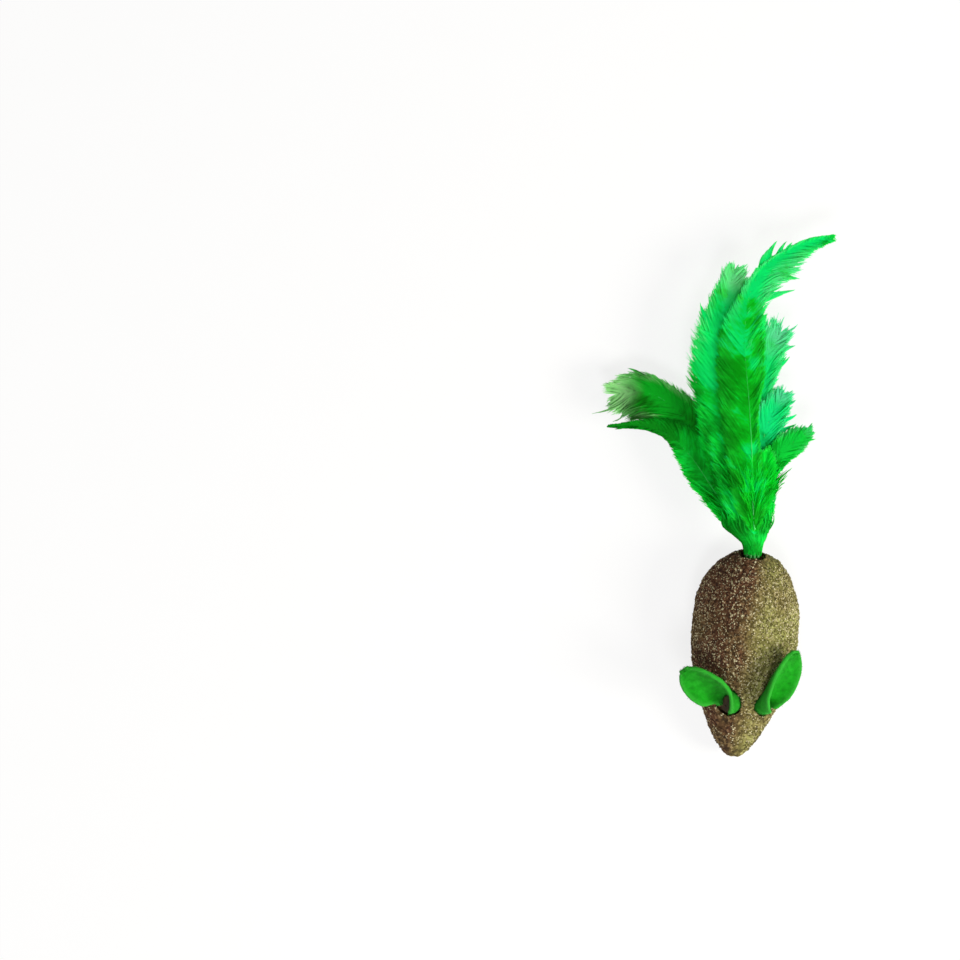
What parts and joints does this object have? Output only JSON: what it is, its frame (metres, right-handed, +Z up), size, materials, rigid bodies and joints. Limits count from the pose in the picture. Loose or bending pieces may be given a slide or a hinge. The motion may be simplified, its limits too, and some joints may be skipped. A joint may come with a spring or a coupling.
{
  "type": "catnip mouse",
  "caption": "Cat toy: a mouse pressed from ground catnip, with cupped felt ears that bend and a dyed feather tail that sways, lifts and fans out.",
  "frame": {"origin": "centre of the flat belly, on the surface that the toy lies on", "axes": "+Z up from the belly, -Y towards the nose, +Y towards the tail, +X to the right seen from above with the tail away"},
  "size_m": [0.0493, 0.1215, 0.0242],
  "materials": {
    "pressed_herb": "rough pressed ground herb",
    "felt": "wool felt",
    "feather": "soft dyed feather",
    "quill": "satin dyed quill",
    "thread": "twisted thread",
    "glue": "set glue"
  },
  "bodies": {
    "body": {"catnip_body": "pressed_herb", "ear_left_root": "felt", "ear_left_glue": "glue", "ear_right_root": "felt", "ear_right_glue": "glue", "quill_ends": "quill", "tail_thread": "thread", "tail_glue": "glue"},
    "left_ear": {"ear_left": "felt"},
    "right_ear": {"ear_right": "felt"},
    "tail_neck": {"quill_neck": "quill"},
    "tail": {"long_feather": "feather", "crest_plume": "feather", "centre_feather": "feather", "right_plume": "feather", "broad_plume": "feather", "under_plume": "feather"},
    "left_feathers": {"lower_left_feather": "feather", "left_side_feather": "feather"},
    "right_feathers": {"right_side_feather": "feather", "right_down_plume": "feather"}
  },
  "joints": [
    {"name": "ear_left_bend", "type": "hinge", "parent": "body", "child": "left_ear", "pos_m": [-0.00283, -0.01114, 0.01557], "axis": [0.9287, 0.2126, 0.3039], "range_deg": [-12, 45], "stiffness_Nm_per_rad": 0.0001},
    {"name": "ear_right_bend", "type": "hinge", "parent": "body", "child": "right_ear", "pos_m": [0.00645, -0.01114, 0.01379], "axis": [0.7217, 0.6348, -0.276], "range_deg": [-12, 45], "stiffness_Nm_per_rad": 0.0001},
    {"name": "tail_sway", "type": "hinge", "parent": "body", "child": "tail_neck", "pos_m": [0.0009, 0.0239, 0.0122], "axis": [0, 0, 1], "range_deg": [-30, 30], "stiffness_Nm_per_rad": 0.0056},
    {"name": "tail_lift", "type": "hinge", "parent": "tail_neck", "child": "tail", "pos_m": [0.0009, 0.0239, 0.0122], "axis": [1, 0, 0], "range_deg": [-8, 45], "stiffness_Nm_per_rad": 0.0056},
    {"name": "left_feathers_fan", "type": "hinge", "parent": "tail", "child": "left_feathers", "pos_m": [0.0009, 0.0239, 0.0122], "axis": [0, 0, 1], "range_deg": [-2, 14], "stiffness_Nm_per_rad": 0.003},
    {"name": "right_feathers_fan", "type": "hinge", "parent": "tail", "child": "right_feathers", "pos_m": [0.0009, 0.0239, 0.0122], "axis": [0, 0, -1], "range_deg": [-2, 14], "stiffness_Nm_per_rad": 0.003}
  ]
}
